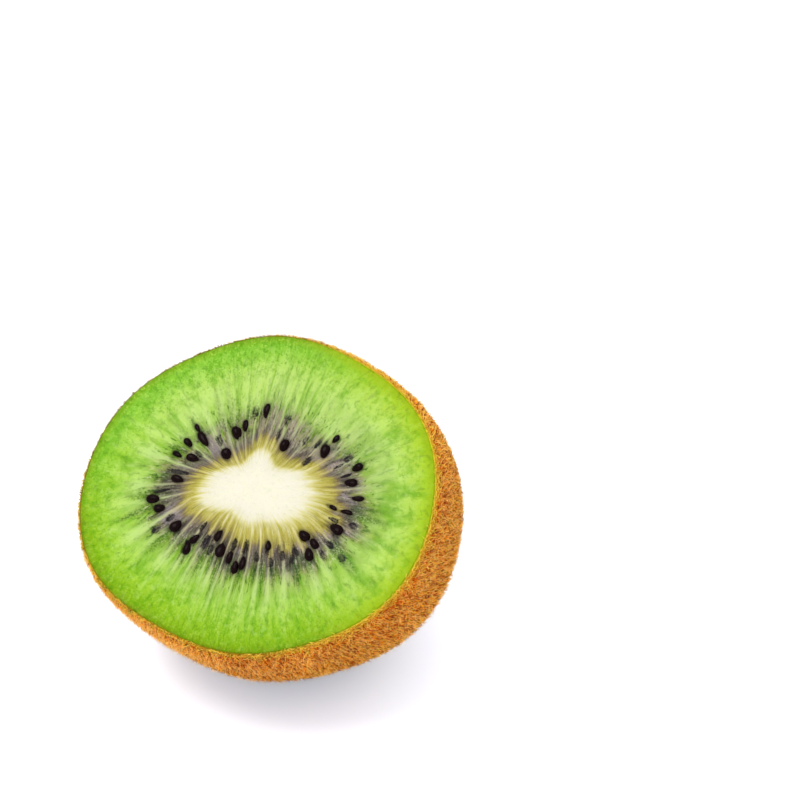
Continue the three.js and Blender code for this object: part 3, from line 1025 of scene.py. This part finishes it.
def make_hairs(name, count, shortest, longest, thickness, steepness, most_proud, bends, root, tip, seed):
    draw = np.random.default_rng(seed)
    fringe = name == FRINGE
    last_turn = CUT_TURN + RIM_WIDTH if fringe else TIP_TURN - BARE_TIP
    here, out, tip_way, angle, turn = skin_frames(draw, count, last_turn)
    side_way = np.cross(out, tip_way)
    upper_rim = bare_rim(angle, turn)
    grown = draw.uniform(0, 1, count) > (1 - upper_rim if fringe else 0.6 * upper_rim)
    if fringe:
        upper_rim = 0 * upper_rim
    # Neighbouring hairs lean alike, with some of their own way, and those at the rim lean over the cut.
    lean = 1.2 + 2.2 * noise_at(here, 0.09, seed) + draw.normal(0, 1.15, count)
    rim = draw.uniform(0, 1, count) > smooth(turn, CUT_TURN, CUT_TURN + RIM_WIDTH)
    lean = np.where(rim & (not fringe), math.pi + draw.normal(0, 0.6, count), lean)
    leaning = tip_way * np.cos(lean)[:, None] + side_way * np.sin(lean)[:, None]
    steep = np.clip(steepness + draw.normal(0, 0.25, count), 0.1, 1.3) * (1 - 0.1 * upper_rim)
    length = draw.uniform(shortest, longest, count) * (1 - 0.4 * upper_rim)
    start = out * np.sin(steep)[:, None] + leaning * np.cos(steep)[:, None]
    bow = draw.uniform(0.15, 0.6, count)[:, None]
    sway = draw.normal(0, 0.25, count)[:, None] * np.cross(start, out)
    root_at = here + out * (skin_bumps(here)[:, None] - ROOT_DEPTH)
    middle_at = root_at + start * (0.5 * length)[:, None]
    finish = normalised(start - out * bow * np.sin(steep)[:, None] + sway)
    tip_at = middle_at + finish * (0.5 * length)[:, None]
    highest = most_proud * (1 - 0.35 * upper_rim)
    for points in (middle_at, tip_at):
        proud = np.einsum("ij,ij->i", points - here, out)
        points -= out * np.maximum(proud - highest, 0)[:, None]
        points += out * np.maximum(LEAST_PROUD - proud, 0)[:, None]

    across = normalised(np.cross(start, out))
    upward = np.cross(across, start)
    rings = []
    stations = [(root_at, thickness), (middle_at, 0.8 * thickness)] if bends else [(root_at, thickness)]
    for centre, width in stations:
        for k in range(HAIR_SIDES):
            around = FULL_TURN * k / HAIR_SIDES
            rings.append(centre + 0.5 * width * (across * math.cos(around) + upward * math.sin(around)))
    points = np.stack([*rings, tip_at], 1)
    # None grows where the fruit rests, or reaches below the table.
    lowest = (points @ TO_PART.T)[:, :, 2].min(1) + FACE_MIDDLE[2]
    shown = grown & (lowest > LEAST_HEIGHT)
    points = points[shown]
    tint = hair_tints(draw, here, turn, upper_rim, fringe, seed)[shown]

    kept, size = points.shape[:2]
    first = (size * np.arange(kept))[:, None]
    sides = [(k, (k + 1) % HAIR_SIDES) for k in range(HAIR_SIDES)]
    last = size - 1 - HAIR_SIDES
    tips = [np.array([last + k, last + after, size - 1]) for k, after in sides]
    faces = [np.concatenate([first + t for t in [*tips, np.array([0, 2, 1])]])]
    if bends:
        quads = [np.array([k, after, HAIR_SIDES + after, HAIR_SIDES + k]) for k, after in sides]
        faces.append(np.concatenate([first + quad for quad in quads]))
    along = np.tile([0] * HAIR_SIDES + [0.5] * (last and HAIR_SIDES) + [1], kept)
    sideways = np.tile([0, 0.5, 1] * len(stations) + [0.5], kept)
    tints = np.repeat(tint, size)
    places = np.column_stack([0.02 + 0.74 * tints + 0.03 * sideways, 0.03 + 0.94 * along])
    points = points.reshape(-1, 3)
    material = hair_material(name, root, tip)
    add_piece(name, points, faces, material, "skin", places, along=along, tint=tints)


# --- Scar ---

SCAR_FLAKES = 9
FLAKE_STEPS = 8
FLAKE_THICKNESS = 0.18


def make_scar():
    """Dried, curled flakes that stand round the nub at the fruit's tip."""
    draw = np.random.default_rng(5)
    tip = tip_point()
    out = np.array([0, 0, -1])
    surfaces = []
    for index in range(SCAR_FLAKES):
        turn = FULL_TURN * (index + draw.uniform(-0.3, 0.3)) / SCAR_FLAKES
        length = draw.uniform(2, 3.4)
        width = draw.uniform(0.7, 1.2)
        curl = draw.uniform(0.5, 1.3)
        way = np.array([math.cos(turn), math.sin(turn), 0])
        side = np.array([-math.sin(turn), math.cos(turn), 0])
        rings = []
        for step in np.linspace(0, 1, FLAKE_STEPS):
            bend = curl * step
            rise = length * 0.33 * math.sin(2 * bend) - 0.35
            centre = tip + way * (0.7 + length * step * math.cos(bend)) + out * rise
            half = side * 0.5 * width * (1 - 0.85 * step**2)
            cup = -out * 0.12 * math.sin(6 * step + index)
            thick = -out * FLAKE_THICKNESS / 2
            rings.append(np.array([centre + half + cup, centre - thick, centre - half, centre + thick]))
        surfaces.append(closed_surface(rings[0].mean(0), rings, rings[-1].mean(0)))
    points, faces = joined(surfaces)
    add_piece("dried_scar", points, faces, scar_material(), "skin", face=points)


# --- Studio ---

CAMERA_PLACE = (133.1, -308.5, 288.4)
CAMERA_LOOK = (-0.2828, 0.758, -0.5878)
FOCAL_PIXELS, IMAGE_PIXELS = 2900, 800
SENSOR = 36
FRUIT_MIDDLE = (0, 0, 0.02)
FLOOR_HALF, FLOOR_STEPS, FLOOR_GAP = 3, 24, 0.02 * MM


def add_to_studio(name, data, place, look):
    """Adds a camera or light at a place in metres, turned to look one way."""
    holder = into_scene(name, data)
    holder.location = place
    holder.rotation_euler = look.to_track_quat("-Z", "Y").to_euler()
    return holder


def make_camera():
    camera = bpy.data.cameras.new("camera")
    camera.sensor_width = SENSOR
    camera.lens = SENSOR * FOCAL_PIXELS / IMAGE_PIXELS
    camera.clip_start = 0.01
    place = Vector(CAMERA_PLACE) * MM
    bpy.context.scene.camera = add_to_studio("camera", camera, place, Vector(CAMERA_LOOK))


def make_light(name, place, size, power):
    """A round soft light that shines at the fruit from a place in metres."""
    light = bpy.data.lights.new(name, "AREA")
    light.shape = "DISK"
    light.size = size
    light.energy = power
    add_to_studio(name, light, place, Vector(FRUIT_MIDDLE) - Vector(place))


def make_floor():
    """A wide, pale sweep of paper."""
    ticks = np.linspace(-FLOOR_HALF, FLOOR_HALF, FLOOR_STEPS)
    x, y = np.meshgrid(ticks, ticks)
    points = np.column_stack([x.ravel(), y.ravel(), np.full(x.size, -FLOOR_GAP)])
    k = np.arange(FLOOR_STEPS * (FLOOR_STEPS - 1)).reshape(-1, FLOOR_STEPS)[:, :-1].ravel()
    faces = np.stack([k, k + 1, k + 1 + FLOOR_STEPS, k + FLOOR_STEPS], 1)
    g = Graph("pale_paper")
    place = g.node("TexCoord")["Object"]
    fibre = g.noise(place, 900, detail=2, roughness=0.5)
    shade = g.mix(fibre, colour(243, 243, 245), colour(247, 247, 248))
    g.set(Base_Color=shade, Roughness=0.9, Specular_IOR_Level=0.2)
    # The paper lies on a light table, which keeps the shadows pale.
    paper = g.set(Emission_Color=(0.45, 0.79, 1, 1), Emission_Strength=0.25)
    floor = new_object("floor", points, [faces], paper)


def make_world():
    world = bpy.data.worlds.new("studio")
    world.use_nodes = True
    background = world.node_tree.nodes["Background"]
    background.inputs["Color"].default_value = (0.985, 0.965, 1, 1)
    background.inputs["Strength"].default_value = 1.46
    bpy.context.scene.world = world


make_camera()
make_world()
make_floor()
make_light("key", (-0.2, -0.28, 0.86), 0.5, 5.7)
bpy.context.scene.view_settings.view_transform = "Standard"

make_flesh()
make_skin()
make_seeds()
make_scar()
for kind in HAIR_KINDS:
    make_hairs(*kind)
